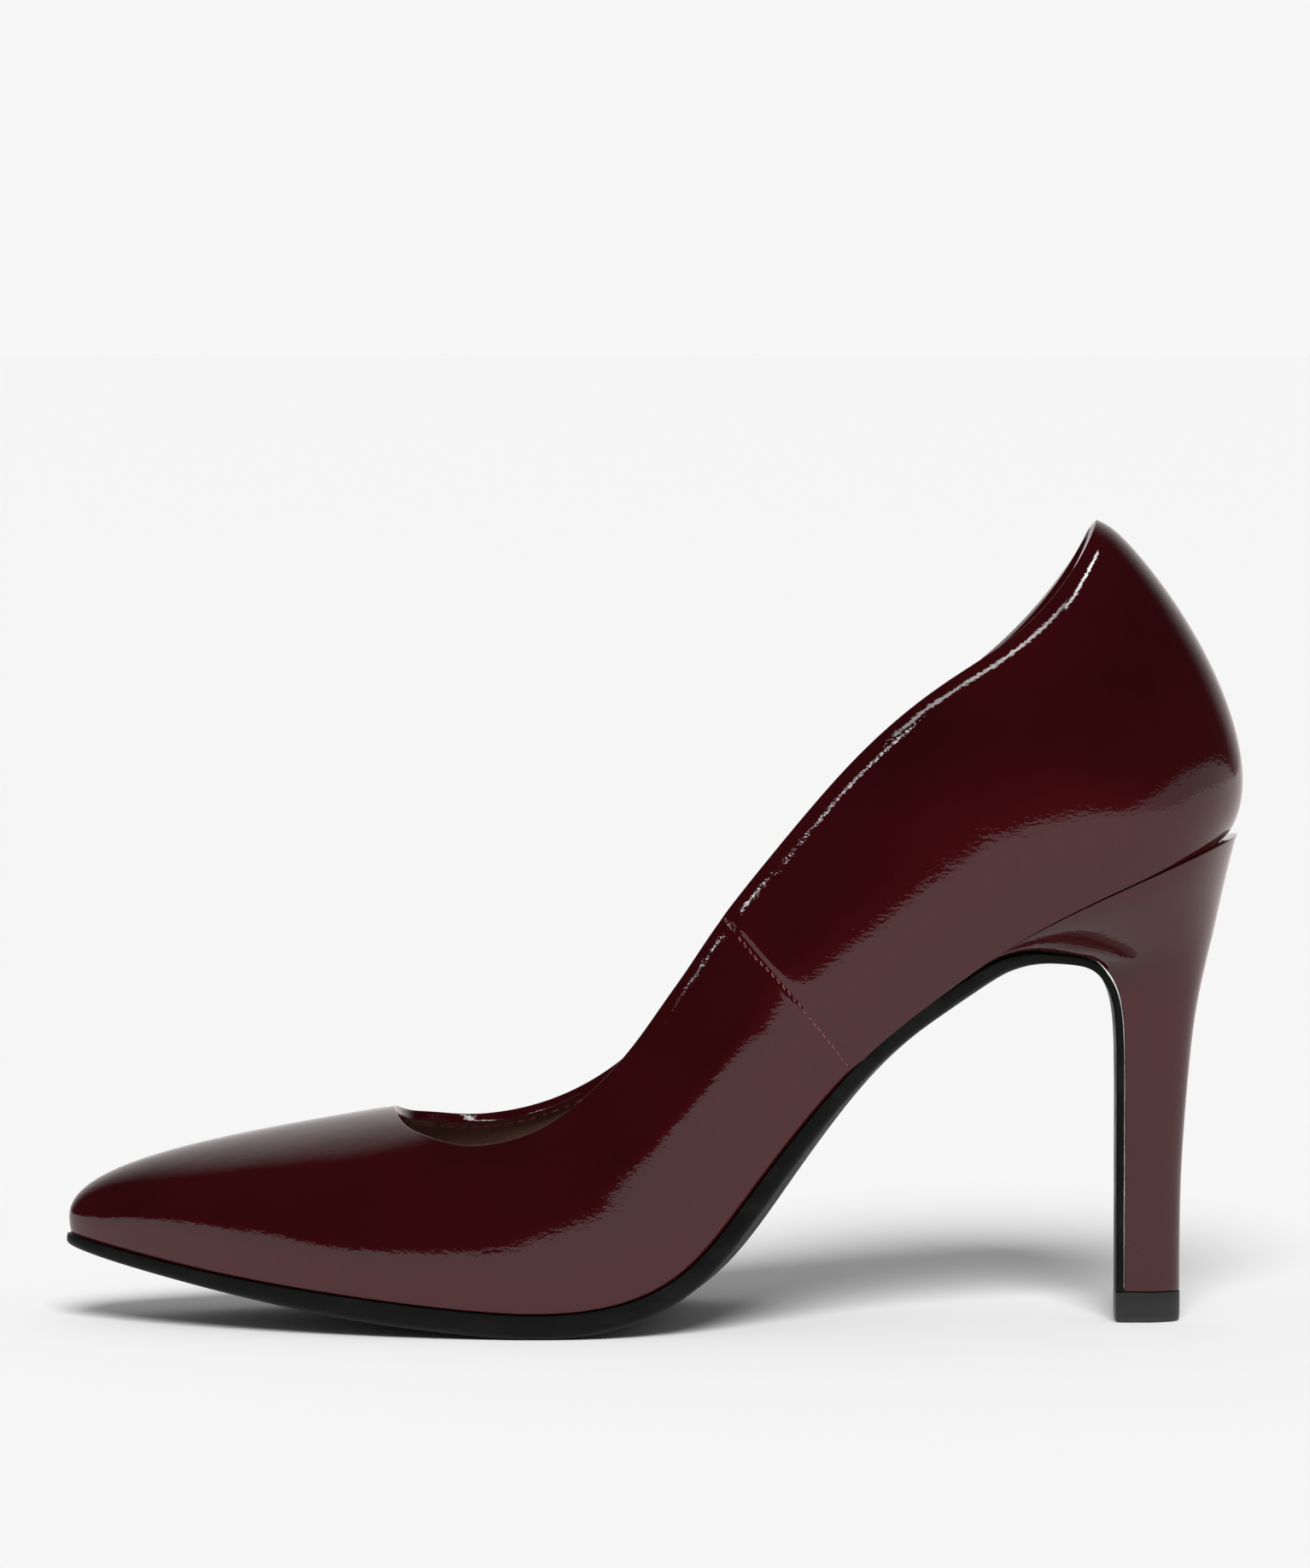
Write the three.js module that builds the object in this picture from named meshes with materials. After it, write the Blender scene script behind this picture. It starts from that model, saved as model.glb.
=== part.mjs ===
// A woman's stiletto pump, the right shoe of a pair: pointed closed toe, low-cut collar, slim covered heel,
// and a thin black outsole that runs on down the front of the heel.
// Millimetres, +Z up. The toe points to -X, the inner (big toe) side of the foot faces -Y.

import * as THREE from 'three';
import { mergeVertices } from 'three/addons/utils/BufferGeometryUtils.js';

// Driving dimensions
const shoeLength = 226.5; // toe tip to the back of the counter, along the floor
const ballWidth = 73.4; // feather edge to feather edge across the ball of the foot
const heelHeight = 93.6; // floor to the feather edge at the back of the seat
const counterHeight = 62; // seat to the top of the counter, at the back
const toeSpring = 12.2; // rise of the feather edge from the ball to the toe tip
const archTwist = 3; // how much lower the outer feather edge lies in the waist
const collarDip = 7; // how much lower the outer side of the collar is cut

const upperWall = 2; // patent and lining together
const seamStep = 0.5; // the quarter lies this proud over the vamp at the side seam
const seamRun = 1.2; // width of that step

const soleThickness = 4.6; // outsole at the ball
const soleMargin = 0.6; // outsole's edge beyond the feather edge
const edgeRound = 0.6; // share of its thickness that the outsole's lower edge is rounded
const flapThickness = 1.5; // outsole where it covers the heel breast
const insoleThickness = 2.8;
const insoleEdge = 1.2; // rounding of the insole's top edge

const tipHeight = 5.8; // top piece under the heel
const tipEdge = 0.5; // rounding of the top piece's lower edge
const fitGap = 0.3; // between pieces that touch

// The feather edge, where the upper's wall meets the sole, from the toe tip to the back of the heel.
// at: share of shoeLength behind the toe tip; inner, outer: shares of ballWidth from the shoe's axis;
// toe: share of toeSpring; heel: share of the seat's rise over the ball; twist: share of archTwist.
const FEATHER = [
  { at: 0.003, inner: 0, outer: 0, toe: 1, heel: 0, twist: 0 }, // toe tip
  { at: 0.021, inner: 0.09, outer: 0.09, toe: 0.93, heel: 0, twist: 0 },
  { at: 0.058, inner: 0.172, outer: 0.168, toe: 0.79, heel: 0, twist: 0 },
  { at: 0.12, inner: 0.275, outer: 0.267, toe: 0.57, heel: 0, twist: 0 },
  { at: 0.195, inner: 0.367, outer: 0.36, toe: 0.36, heel: 0, twist: 0 },
  { at: 0.27, inner: 0.432, outer: 0.432, toe: 0.19, heel: 0, twist: 0 },
  { at: 0.341, inner: 0.471, outer: 0.484, toe: 0.06, heel: 0, twist: 0 },
  { at: 0.412, inner: 0.482, outer: 0.518, toe: 0, heel: 0.001, twist: 0.05 }, // ball
  { at: 0.478, inner: 0.457, outer: 0.52, toe: 0, heel: 0.025, twist: 0.25 },
  { at: 0.535, inner: 0.404, outer: 0.49, toe: 0, heel: 0.108, twist: 0.6 },
  { at: 0.592, inner: 0.345, outer: 0.44, toe: 0, heel: 0.29, twist: 0.9 }, // waist
  { at: 0.666, inner: 0.295, outer: 0.383, toe: 0, heel: 0.515, twist: 1 }, // side seam
  { at: 0.73, inner: 0.278, outer: 0.342, toe: 0, heel: 0.653, twist: 0.75 },
  { at: 0.795, inner: 0.296, outer: 0.328, toe: 0, heel: 0.77, twist: 0.4 },
  { at: 0.862, inner: 0.325, outer: 0.333, toe: 0, heel: 0.863, twist: 0.12 }, // seat
  { at: 0.924, inner: 0.308, outer: 0.308, toe: 0, heel: 0.935, twist: 0 },
  { at: 0.967, inner: 0.2, outer: 0.2, toe: 0, heel: 0.981, twist: 0 },
  { at: 0.987, inner: 0, outer: 0, toe: 0, heel: 1, twist: 0 }, // back of the heel
];

// The topline, row by row above the feather edge's rows, from the vamp's throat to the back of the
// collar. up: share of counterHeight above the same row's feather edge; dip: share of collarDip on the
// outer side.
const TOPLINE = [
  { at: 0.279, inner: 0, outer: 0, up: 0.394, dip: 0 }, // throat
  { at: 0.283, inner: 0.123, outer: 0.123, up: 0.392, dip: 0 },
  { at: 0.293, inner: 0.211, outer: 0.211, up: 0.391, dip: -0.08 },
  { at: 0.312, inner: 0.271, outer: 0.271, up: 0.411, dip: -0.19 },
  { at: 0.338, inner: 0.312, outer: 0.314, up: 0.433, dip: -0.26 },
  { at: 0.37, inner: 0.349, outer: 0.353, up: 0.479, dip: -0.2 },
  { at: 0.405, inner: 0.373, outer: 0.383, up: 0.552, dip: -0.04 },
  { at: 0.442, inner: 0.384, outer: 0.402, up: 0.663, dip: 0.32 },
  { at: 0.478, inner: 0.383, outer: 0.41, up: 0.768, dip: 0.72 },
  { at: 0.506, inner: 0.371, outer: 0.405, up: 0.788, dip: 0.95 },
  { at: 0.529, inner: 0.36, outer: 0.394, up: 0.645, dip: 1 },
  { at: 0.5575, inner: 0.348, outer: 0.38, up: 0.475, dip: 1 }, // side seam
  { at: 0.612, inner: 0.334, outer: 0.358, up: 0.527, dip: 0.97 },
  { at: 0.673, inner: 0.324, outer: 0.338, up: 0.612, dip: 0.86 },
  { at: 0.74, inner: 0.32, outer: 0.326, up: 0.683, dip: 0.6 },
  { at: 0.805, inner: 0.303, outer: 0.303, up: 0.742, dip: 0.24 },
  { at: 0.857, inner: 0.198, outer: 0.198, up: 0.888, dip: 0.02 },
  { at: 0.879, inner: 0, outer: 0, up: 1, dip: 0 }, // top of the counter
];

// How the wall rises between them, as one cubic curve a row. tilt: degrees that its upright leans to
// the toe; rise, flare: handle at the feather edge, a share of counterHeight and degrees outward from
// the upright; reach, slope: handle at the topline, a share of counterHeight and degrees below the
// outward direction.
const WALL = [
  { tilt: 0, rise: 0.225, flare: 26, reach: 0.65, slope: 9.3 },
  { tilt: 0, rise: 0.212, flare: 22, reach: 0.53, slope: 12.4 },
  { tilt: 0, rise: 0.225, flare: 18, reach: 0.42, slope: 21 },
  { tilt: 0, rise: 0.22, flare: 14, reach: 0.33, slope: 30 },
  { tilt: 0, rise: 0.21, flare: 12, reach: 0.27, slope: 37 },
  { tilt: 0, rise: 0.21, flare: 11, reach: 0.25, slope: 43 },
  { tilt: 2, rise: 0.21, flare: 11, reach: 0.24, slope: 50 },
  { tilt: 6, rise: 0.22, flare: 12, reach: 0.24, slope: 58 },
  { tilt: 12, rise: 0.24, flare: 14, reach: 0.25, slope: 66 },
  { tilt: 20, rise: 0.25, flare: 16, reach: 0.26, slope: 72 },
  { tilt: 31, rise: 0.25, flare: 18, reach: 0.25, slope: 76 },
  { tilt: 39, rise: 0.23, flare: 20, reach: 0.22, slope: 77 },
  { tilt: 38, rise: 0.22, flare: 21, reach: 0.22, slope: 77 },
  { tilt: 35, rise: 0.22, flare: 22, reach: 0.25, slope: 77 },
  { tilt: 31, rise: 0.24, flare: 24, reach: 0.29, slope: 76 },
  { tilt: 27, rise: 0.26, flare: 29, reach: 0.33, slope: 71 },
  { tilt: 23, rise: 0.28, flare: 38, reach: 0.38, slope: 63 },
  { tilt: 20, rise: 0.3, flare: 49, reach: 0.39, slope: 56 },
];

// The outsole in the feather edge's rows, from the toe tip to the heel breast.
// Shares of soleThickness. thick: at the edge; round: how far in the lower edge is rounded;
// crown: how much thicker it is in the middle.
const SOLE = [
  { thick: 0.5, round: 0.4, crown: 0 },
  { thick: 0.57, round: 0.45, crown: 0 },
  { thick: 0.64, round: 0.5, crown: 0.02 },
  { thick: 0.72, round: 0.55, crown: 0.02 },
  { thick: 0.88, round: 0.6, crown: 0.02 },
  { thick: 1.0, round: 0.65, crown: 0.02 },
  { thick: 1.03, round: 0.7, crown: 0.02 },
  { thick: 1.1, round: 0.7, crown: 0.02 },
  { thick: 1.02, round: 0.75, crown: 0.04 },
  { thick: 1.03, round: 0.85, crown: 0.3 },
  { thick: 1.0, round: 1, crown: 0.26 },
  { thick: 0.82, round: 1.2, crown: 0.1 },
  { thick: 0.74, round: 1.2, crown: 0.06 },
];

// The heel, from its cup under the seat down to the top piece. Each section runs from the breast at
// the front to the heel's back. frontAt, backAt: shares of shoeLength; frontUp, backUp: shares of the
// rise from the top piece to the seat; width: share of the seat's width; pinch: how much narrower the
// front is; slim: 0 has the seat's outline, 1 has a D outline, flat at the front.
const HEEL = [
  { frontAt: 0.765, frontUp: 0.712, backAt: 0.9945, backUp: 0.993, width: 1, pinch: 0, slim: 0 }, // seat
  { frontAt: 0.794, frontUp: 0.7385, backAt: 0.9895, backUp: 0.93, width: 0.93, pinch: 0.02, slim: 0.1 },
  { frontAt: 0.825, frontUp: 0.75, backAt: 0.9815, backUp: 0.861, width: 0.76, pinch: 0.08, slim: 0.3 },
  { frontAt: 0.852, frontUp: 0.746, backAt: 0.974, backUp: 0.786, width: 0.575, pinch: 0.16, slim: 0.55 },
  { frontAt: 0.876, frontUp: 0.727, backAt: 0.967, backUp: 0.711, width: 0.435, pinch: 0.2, slim: 0.8 },
  { frontAt: 0.893, frontUp: 0.665, backAt: 0.961, backUp: 0.636, width: 0.34, pinch: 0.18, slim: 0.95 },
  { frontAt: 0.8985, frontUp: 0.5616, backAt: 0.956, backUp: 0.5455, width: 0.28, pinch: 0.13, slim: 1 },
  { frontAt: 0.899, frontUp: 0.412, backAt: 0.951, backUp: 0.401, width: 0.24, pinch: 0.08, slim: 1 },
  { frontAt: 0.899, frontUp: 0.262, backAt: 0.9475, backUp: 0.257, width: 0.22, pinch: 0.05, slim: 1 },
  { frontAt: 0.899, frontUp: 0.123, backAt: 0.9465, backUp: 0.123, width: 0.21, pinch: 0.04, slim: 1 },
  { frontAt: 0.899, frontUp: 0, backAt: 0.9465, backUp: 0, width: 0.212, pinch: 0.04, slim: 1 }, // top piece
];

// Sampling
const linesPerRow = 3; // wall lines between one table row and the next
const wallSteps = 9; // steps from the feather edge to the topline
const edgeSteps = 4; // steps round the edge of the outsole and of the insole
const ringsPerSection = 2;
const sideSteps = 16; // steps along one side of a heel section

const patent = new THREE.MeshStandardMaterial({ color: 0x4a0e14, roughness: 0.12, metalness: 0 });
const satinBlack = new THREE.MeshStandardMaterial({ color: 0x121113, roughness: 0.45, metalness: 0 });
const lining = new THREE.MeshStandardMaterial({ color: 0x6b4a3c, roughness: 0.7, metalness: 0 });
const rubber = new THREE.MeshStandardMaterial({ color: 0x0e0e0f, roughness: 0.55, metalness: 0 });

const lastRow = FEATHER.length - 1;
const seamRow = 11;
const radians = THREE.MathUtils.degToRad;

const bedAtBall = soleThickness + fitGap;
const lengthAt = (share) => (share - 0.5) * shoeLength;
const sideSign = { inner: -1, outer: 1 };

// A smooth curve through values at the whole numbers, curvature-continuous. Closed ones repeat.
const settlePasses = 60; // after which the curve runs through its values
function smooth(values, closed = false) {
  const count = values.length;
  const knots = values.slice();
  const knot = (i) => {
    if (closed) return knots[((i % count) + count) % count];
    if (i < 0) return 2 * knots[0] - knots[-i];
    if (i >= count) return 2 * knots[count - 1] - knots[2 * count - 2 - i];
    return knots[i];
  };
  for (let pass = 0; pass < settlePasses; pass++) {
    const drawn = knots.map((_, i) => (knot(i - 1) + 4 * knot(i) + knot(i + 1)) / 6);
    drawn.forEach((value, i) => (knots[i] += values[i] - value));
  }
  return (t) => {
    const i = Math.floor(closed ? t : Math.min(Math.max(t, 0), count - 1 - 1e-9));
    const f = t - i;
    const a = (1 - f) ** 3;
    const b = 3 * f ** 3 - 6 * f ** 2 + 4;
    const c = -3 * f ** 3 + 3 * f ** 2 + 3 * f + 1;
    return (a * knot(i - 1) + b * knot(i) + c * knot(i + 1) + f ** 3 * knot(i + 2)) / 6;
  };
}

// A closed loop of points, from the toe tip along the inner side to the back, and on along the outer side.
function loop(pointOf) {
  const points = [];
  for (let row = 0; row < lastRow; row++) points.push(pointOf(row, 'inner', row));
  for (let row = lastRow; row > 0; row--) points.push(pointOf(row, 'outer', 2 * lastRow - row));
  const [x, y, z] = ['x', 'y', 'z'].map((axis) => smooth(points.map((p) => p[axis]), true));
  return (t) => new THREE.Vector3(x(t), y(t), z(t));
}
const tablePoint = (entry, side, z) =>
  new THREE.Vector3(lengthAt(entry.at), sideSign[side] * entry[side] * ballWidth, z);

// Heights of the feather edge and of the topline at a table row.
function featherHeight(row, side) {
  const { toe, heel, twist } = FEATHER[row];
  const drop = side === 'outer' ? archTwist * twist : 0;
  return bedAtBall + toeSpring * toe + (heelHeight - bedAtBall) * heel - drop;
}
function toplineHeight(row, side) {
  const drop = side === 'outer' ? collarDip * TOPLINE[row].dip : 0;
  return featherHeight(row, 'inner') + counterHeight * TOPLINE[row].up - drop;
}
const feather = loop((row, side) => tablePoint(FEATHER[row], side, featherHeight(row, side)));
const topline = loop((row, side) => tablePoint(TOPLINE[row], side, toplineHeight(row, side)));

// Horizontal direction out of the shoe, square to a loop.
function outward(curve, t) {
  const step = 0.01;
  const along = curve(t + step).sub(curve(t - step));
  return new THREE.Vector3(along.y, -along.x, 0).normalize();
}

// The wall's upright and its two handles at a row, and the loops through them.
function upright(row) {
  const tilt = radians(WALL[row].tilt);
  return new THREE.Vector3(-Math.sin(tilt), 0, Math.cos(tilt));
}
const lowHandle = loop((row, side, t) => {
  const { rise, flare } = WALL[row];
  return feather(t)
    .addScaledVector(upright(row), rise * counterHeight * Math.cos(radians(flare)))
    .addScaledVector(outward(feather, t), rise * counterHeight * Math.sin(radians(flare)));
});
const highHandle = loop((row, side, t) => {
  const { reach, slope } = WALL[row];
  return topline(t)
    .addScaledVector(outward(topline, t), reach * counterHeight * Math.cos(radians(slope)))
    .addScaledVector(upright(row), -reach * counterHeight * Math.sin(radians(slope)));
});

// The last's surface: t round the loop, v from the feather edge (0) to the topline (1).
function lastSurface(t, v) {
  const w = 1 - v;
  return feather(t)
    .multiplyScalar(w ** 3)
    .addScaledVector(lowHandle(t), 3 * v * w ** 2)
    .addScaledVector(highHandle(t), 3 * v ** 2 * w)
    .addScaledVector(topline(t), v ** 3);
}
function lastNormal(t, v) {
  const step = 0.01;
  const [low, high] = [Math.max(v - step, 0), Math.min(v + step, 1)];
  const round = lastSurface(t + step, v).sub(lastSurface(t - step, v));
  const rise = lastSurface(t, high).sub(lastSurface(t, low));
  return round.cross(rise).normalize();
}

// The bed: the surface that the foot's sole lies on, ruled across from one feather edge to the other.
const halvings = 40; // of the rows, to find the one at a place along the shoe
const bedEnd = 0.3; // rows at the toe and at the back where the bed's height stays level
function rowAt(x) {
  let [low, high] = [0, lastRow];
  for (let pass = 0; pass < halvings; pass++) {
    const middle = (low + high) / 2;
    if (feather(middle).x < x) low = middle;
    else high = middle;
  }
  return (low + high) / 2;
}
function bedHeight(x, y) {
  const ends = [feather(bedEnd).x, feather(lastRow - bedEnd).x];
  const inside = Math.min(Math.max(x, ends[0]), ends[1]);
  const row = rowAt(inside);
  const [inner, outer] = [feather(row), feather(2 * lastRow - row)];
  const share = (y - inner.y) / (outer.y - inner.y);
  const height = inner.z + (outer.z - inner.z) * Math.min(Math.max(share, 0), 1);
  const beyond = x - inside;
  if (beyond === 0) return height;
  const back = inside - Math.sign(beyond);
  const slope = (height - bedHeight(back, y)) / (inside - back);
  return height + slope * beyond;
}
function bedNormal(x) {
  const step = 1;
  const slope = (bedHeight(x + step, 0) - bedHeight(x - step, 0)) / (2 * step);
  return new THREE.Vector3(-slope, 0, 1).normalize();
}
const onBed = (p) => new THREE.Vector3(p.x, p.y, bedHeight(p.x, p.y));

// A closed mesh from triangles of points. Points in one place are welded and slivers are left out.
function meshOf(name, triangles, material) {
  const flat = new THREE.BufferGeometry().setFromPoints(triangles.flat());
  const welded = mergeVertices(flat, 1e-3);
  const kept = [];
  for (let i = 0; i < welded.index.count; i += 3) {
    const [a, b, c] = [0, 1, 2].map((corner) => welded.index.getX(i + corner));
    if (a !== b && b !== c && c !== a) kept.push(a, b, c);
  }
  welded.setIndex(kept);
  welded.computeVertexNormals();
  const mesh = new THREE.Mesh(welded, material);
  mesh.name = name;
  return mesh;
}
// Triangles between neighbouring lines of points, which all run the same way. wrapLines and wrapPoints
// join the last to the first.
function skin(lines, { wrapLines = false, wrapPoints = false } = {}) {
  const triangles = [];
  const lineCount = wrapLines ? lines.length : lines.length - 1;
  for (let i = 0; i < lineCount; i++) {
    const [here, next] = [lines[i], lines[(i + 1) % lines.length]];
    const pointCount = wrapPoints ? here.length : here.length - 1;
    for (let j = 0; j < pointCount; j++) {
      const k = (j + 1) % here.length;
      triangles.push([here[j], next[j], next[k]], [here[j], next[k], here[k]]);
    }
  }
  return triangles;
}

// Places round the loop where wall lines stand: evenly between the rows, with a close pair at the side seam.
function wallPlaces() {
  const seamHalf = seamRun / 2 / feather(seamRow + 0.5).distanceTo(feather(seamRow - 0.5));
  const places = [];
  for (let i = 0; i < 2 * lastRow * linesPerRow; i++) {
    const t = i / linesPerRow;
    if (t === seamRow) places.push(t - seamHalf, t + seamHalf);
    else places.push(t);
  }
  return places;
}
// The quarter's step over the vamp: full just behind the side seam, and gone some rows further back.
const stepFullRows = 0.2;
const stepGoneRows = 2;
function stepAt(t) {
  const back = t - seamRow;
  if (back < 0 || back > stepGoneRows) return 0;
  return seamStep * (1 - THREE.MathUtils.smoothstep(back, stepFullRows, stepGoneRows));
}

function upper() {
  const lines = wallPlaces().map((t) => {
    const outside = [];
    const inside = [];
    for (let j = 0; j <= wallSteps; j++) {
      const v = j / wallSteps;
      const normal = lastNormal(t, v);
      outside.push(lastSurface(t, v).addScaledVector(normal, stepAt(t)));
      inside.push(lastSurface(t, v).addScaledVector(normal, -upperWall));
    }
    inside[0] = onBed(feather(t).addScaledVector(outward(feather, t), -upperWall));
    return [...outside, ...inside.reverse()];
  });
  return meshOf('upper', skin(lines, { wrapLines: true, wrapPoints: true }), patent);
}

const crownShares = [0.3, 0.65]; // points between a plate's rounded edge and its crest
const insoleThinning = insoleEdge / 4; // at its edge

// A flat piece with one rounded edge is built from lines. Each runs from the spine on its flat face to
// the edge, up the side, round the edge and back to the spine on its far face. rise: unit vector to the
// far face;
// out: unit vector out of the piece; thick, spineThick: its thickness at the edge and at the spine;
// inset, high: how far in and how far down the rounding reaches.
function plateLine({ spine, edge, out, rise, spineRise, thick, spineThick, inset, high }) {
  const line = [spine.clone(), edge.clone()];
  for (let j = 0; j <= edgeSteps; j++) {
    const angle = radians((90 * j) / edgeSteps);
    const point = edge.clone();
    point.addScaledVector(out, -inset * (1 - Math.cos(angle)));
    point.addScaledVector(rise, thick - high * (1 - Math.sin(angle)));
    line.push(point);
  }
  const rounded = line.at(-1);
  const crest = spine.clone().addScaledVector(spineRise, spineThick);
  for (const share of crownShares) {
    const bulge = (spineThick - thick) * share * (1 - share);
    line.push(rounded.clone().lerp(crest, share).addScaledVector(spineRise, bulge));
  }
  line.push(crest);
  return line;
}

// A plate's spine is the middle between its edges. It stops short of the ends, where the lines fan out.
const fanRows = 2;
function spinePlace(t, lastFan) {
  const row = t <= lastRow ? t : 2 * lastRow - t;
  return Math.min(Math.max(row, fanRows), lastFan);
}
function spinePoint(row) {
  const middle = feather(row).add(feather(2 * lastRow - row)).multiplyScalar(0.5);
  return onBed(middle);
}

function insole() {
  const lines = [];
  for (let i = 0; i < 2 * lastRow * linesPerRow; i++) {
    const t = i / linesPerRow;
    const out = outward(feather, t);
    const edge = onBed(feather(t).addScaledVector(out, -upperWall - fitGap));
    const spine = spinePoint(spinePlace(t, lastRow - fanRows));
    lines.push(plateLine({
      spine,
      edge,
      out,
      rise: bedNormal(edge.x),
      spineRise: bedNormal(spine.x),
      thick: insoleThickness - insoleThinning,
      spineThick: insoleThickness,
      inset: insoleEdge,
      high: insoleEdge,
    }));
  }
  return meshOf('insole', skin(lines, { wrapLines: true }), lining);
}

// The heel's sections, with smooth curves through the table.
const heelCurves = {};
for (const key of Object.keys(HEEL[0])) heelCurves[key] = smooth(HEEL.map((section) => section[key]));
const tipTop = tipHeight + fitGap;
const seatRow = rowAt(lengthAt(HEEL[0].frontAt));
const seatBack = feather(lastRow).x;
const heelLast = HEEL.length - 1;
const heelUp = (share) => tipTop + share * (heelHeight - fitGap - tipTop);
const seatHalf = { inner: 0, outer: 0 };
for (const side of ['inner', 'outer']) {
  const seatShares = FEATHER.slice(Math.ceil(seatRow)).map((row) => row[side]);
  seatHalf[side] = Math.max(...seatShares) * ballWidth;
}

// A D outline: along is the share from front to back, half the share of the half width.
const cornerShare = 0.3;
const flatShare = 0.42;
function dOutline(q, pinch) {
  if (q < cornerShare) {
    const along = (flatShare * q) / cornerShare;
    return { along, half: 1 - pinch * (1 - q / cornerShare) };
  }
  const angle = ((q - cornerShare) / (1 - cornerShare)) * (Math.PI / 2);
  return { along: flatShare + (1 - flatShare) * Math.sin(angle), half: Math.cos(angle) };
}
function seatOutline(q, side) {
  const row = seatRow + q * (lastRow - seatRow);
  const point = feather(side === 'inner' ? row : 2 * lastRow - row);
  const front = feather(seatRow).x;
  return { along: (point.x - front) / (seatBack - front), half: Math.abs(point.y) / seatHalf[side] };
}

const cupSections = 3; // from the seat down, over which the heel's top turns from a cup to level
// One point of a heel section. place: 0 at the seat to heelLast at the top piece; q: from the breast to
// the back.
function heelPoint(place, side, q) {
  const at = (key) => heelCurves[key](place);
  const seat = seatOutline(q, side);
  const slim = Math.min(Math.max(at('slim'), 0), 1);
  const dee = dOutline(q, at('pinch'));
  const along = THREE.MathUtils.lerp(seat.along, dee.along, slim);
  const half = THREE.MathUtils.lerp(seat.half, dee.half, slim) * at('width') * seatHalf[side];
  const x = THREE.MathUtils.lerp(lengthAt(at('frontAt')), lengthAt(at('backAt')), along);
  const chord = THREE.MathUtils.lerp(heelUp(at('frontUp')), heelUp(at('backUp')), along);
  const y = sideSign[side] * half;
  const hollow = Math.max(1 - place / cupSections, 0) ** 2;
  const z = THREE.MathUtils.lerp(chord, bedHeight(x, y) - fitGap, hollow);
  return new THREE.Vector3(x, y, z);
}
function heelRing(place) {
  const ring = [];
  for (let j = 0; j <= sideSteps; j++) ring.push(heelPoint(place, 'inner', j / sideSteps));
  for (let j = sideSteps - 1; j >= 0; j--) ring.push(heelPoint(place, 'outer', j / sideSteps));
  return ring;
}
// Flat strips across a ring, from its front to its back.
function across(ring, facingUp) {
  const triangles = [];
  const last = ring.length - 1;
  for (let j = 0; j < sideSteps; j++) {
    const [a, b, c, d] = [ring[j], ring[j + 1], ring[last - j - 1], ring[last - j]];
    if (facingUp) triangles.push([a, b, c], [a, c, d]);
    else triangles.push([a, c, b], [a, d, c]);
  }
  return triangles;
}

function heel() {
  const rings = [];
  for (let i = 0; i <= heelLast * ringsPerSection; i++) rings.push(heelRing(i / ringsPerSection));
  const sides = skin(rings, { wrapPoints: true });
  return meshOf('heel', [...across(rings[0], true), ...sides, ...across(rings.at(-1), false)], patent);
}

// The top piece's front is flush with the flap's, its back with the heel's.
function topPiece() {
  const lowest = heelRing(heelLast);
  const [front, back] = [lowest[0].x, lowest[sideSteps].x];
  const stretch = (back - front + fitGap + flapThickness) / (back - front);
  const outline = lowest.map((p) => p.clone().setX(back - (back - p.x) * stretch));
  const middle = new THREE.Box3().setFromPoints(outline).getCenter(new THREE.Vector3());
  const halfWidth = seatHalf.inner * HEEL[heelLast].width;
  const ringAt = (z, inset) => outline.map((p) => p.clone().lerp(middle, inset / halfWidth).setZ(z));
  const rings = [
    ringAt(tipHeight, 0),
    ringAt(tipEdge, 0),
    ringAt(tipEdge / 3, tipEdge / 3),
    ringAt(0, tipEdge),
  ];
  const sides = skin(rings, { wrapPoints: true });
  return meshOf('top_piece', [...across(rings[0], true), ...sides, ...across(rings.at(-1), false)], rubber);
}

// The outsole lies under the bed to the heel's front edge, then runs down the breast, fitGap off what
// it covers.
const soleThick = smooth(SOLE.map((row) => row.thick * soleThickness));
const soleCrown = smooth(SOLE.map((row) => row.crown * soleThickness));
const soleRound = smooth(SOLE.map((row) => row.round * soleThickness));
const soleRows = SOLE.length - 1;
const flapPlace = 3; // the heel section where the outsole has thinned to the flap
const aboveFloor = (p) => p.setZ(Math.max(p.z, 0));

function soleStation(row, side) {
  const t = side === 'inner' ? row : 2 * lastRow - row;
  const out = outward(feather, t);
  const edge = onBed(feather(t).addScaledVector(out, soleMargin));
  const spineRow = spinePlace(row, lastRow);
  const spine = spinePoint(spineRow);
  const rise = bedNormal(edge.x).negate();
  const spineRise = bedNormal(spine.x).negate();
  const thick = soleThick(row);
  return plateLine({
    spine: spine.addScaledVector(spineRise, fitGap),
    edge: edge.addScaledVector(rise, fitGap),
    out,
    rise,
    spineRise,
    thick,
    spineThick: soleThick(spineRow) + soleCrown(spineRow),
    inset: soleRound(row),
    high: thick * edgeRound,
  }).map(aboveFloor);
}
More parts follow.
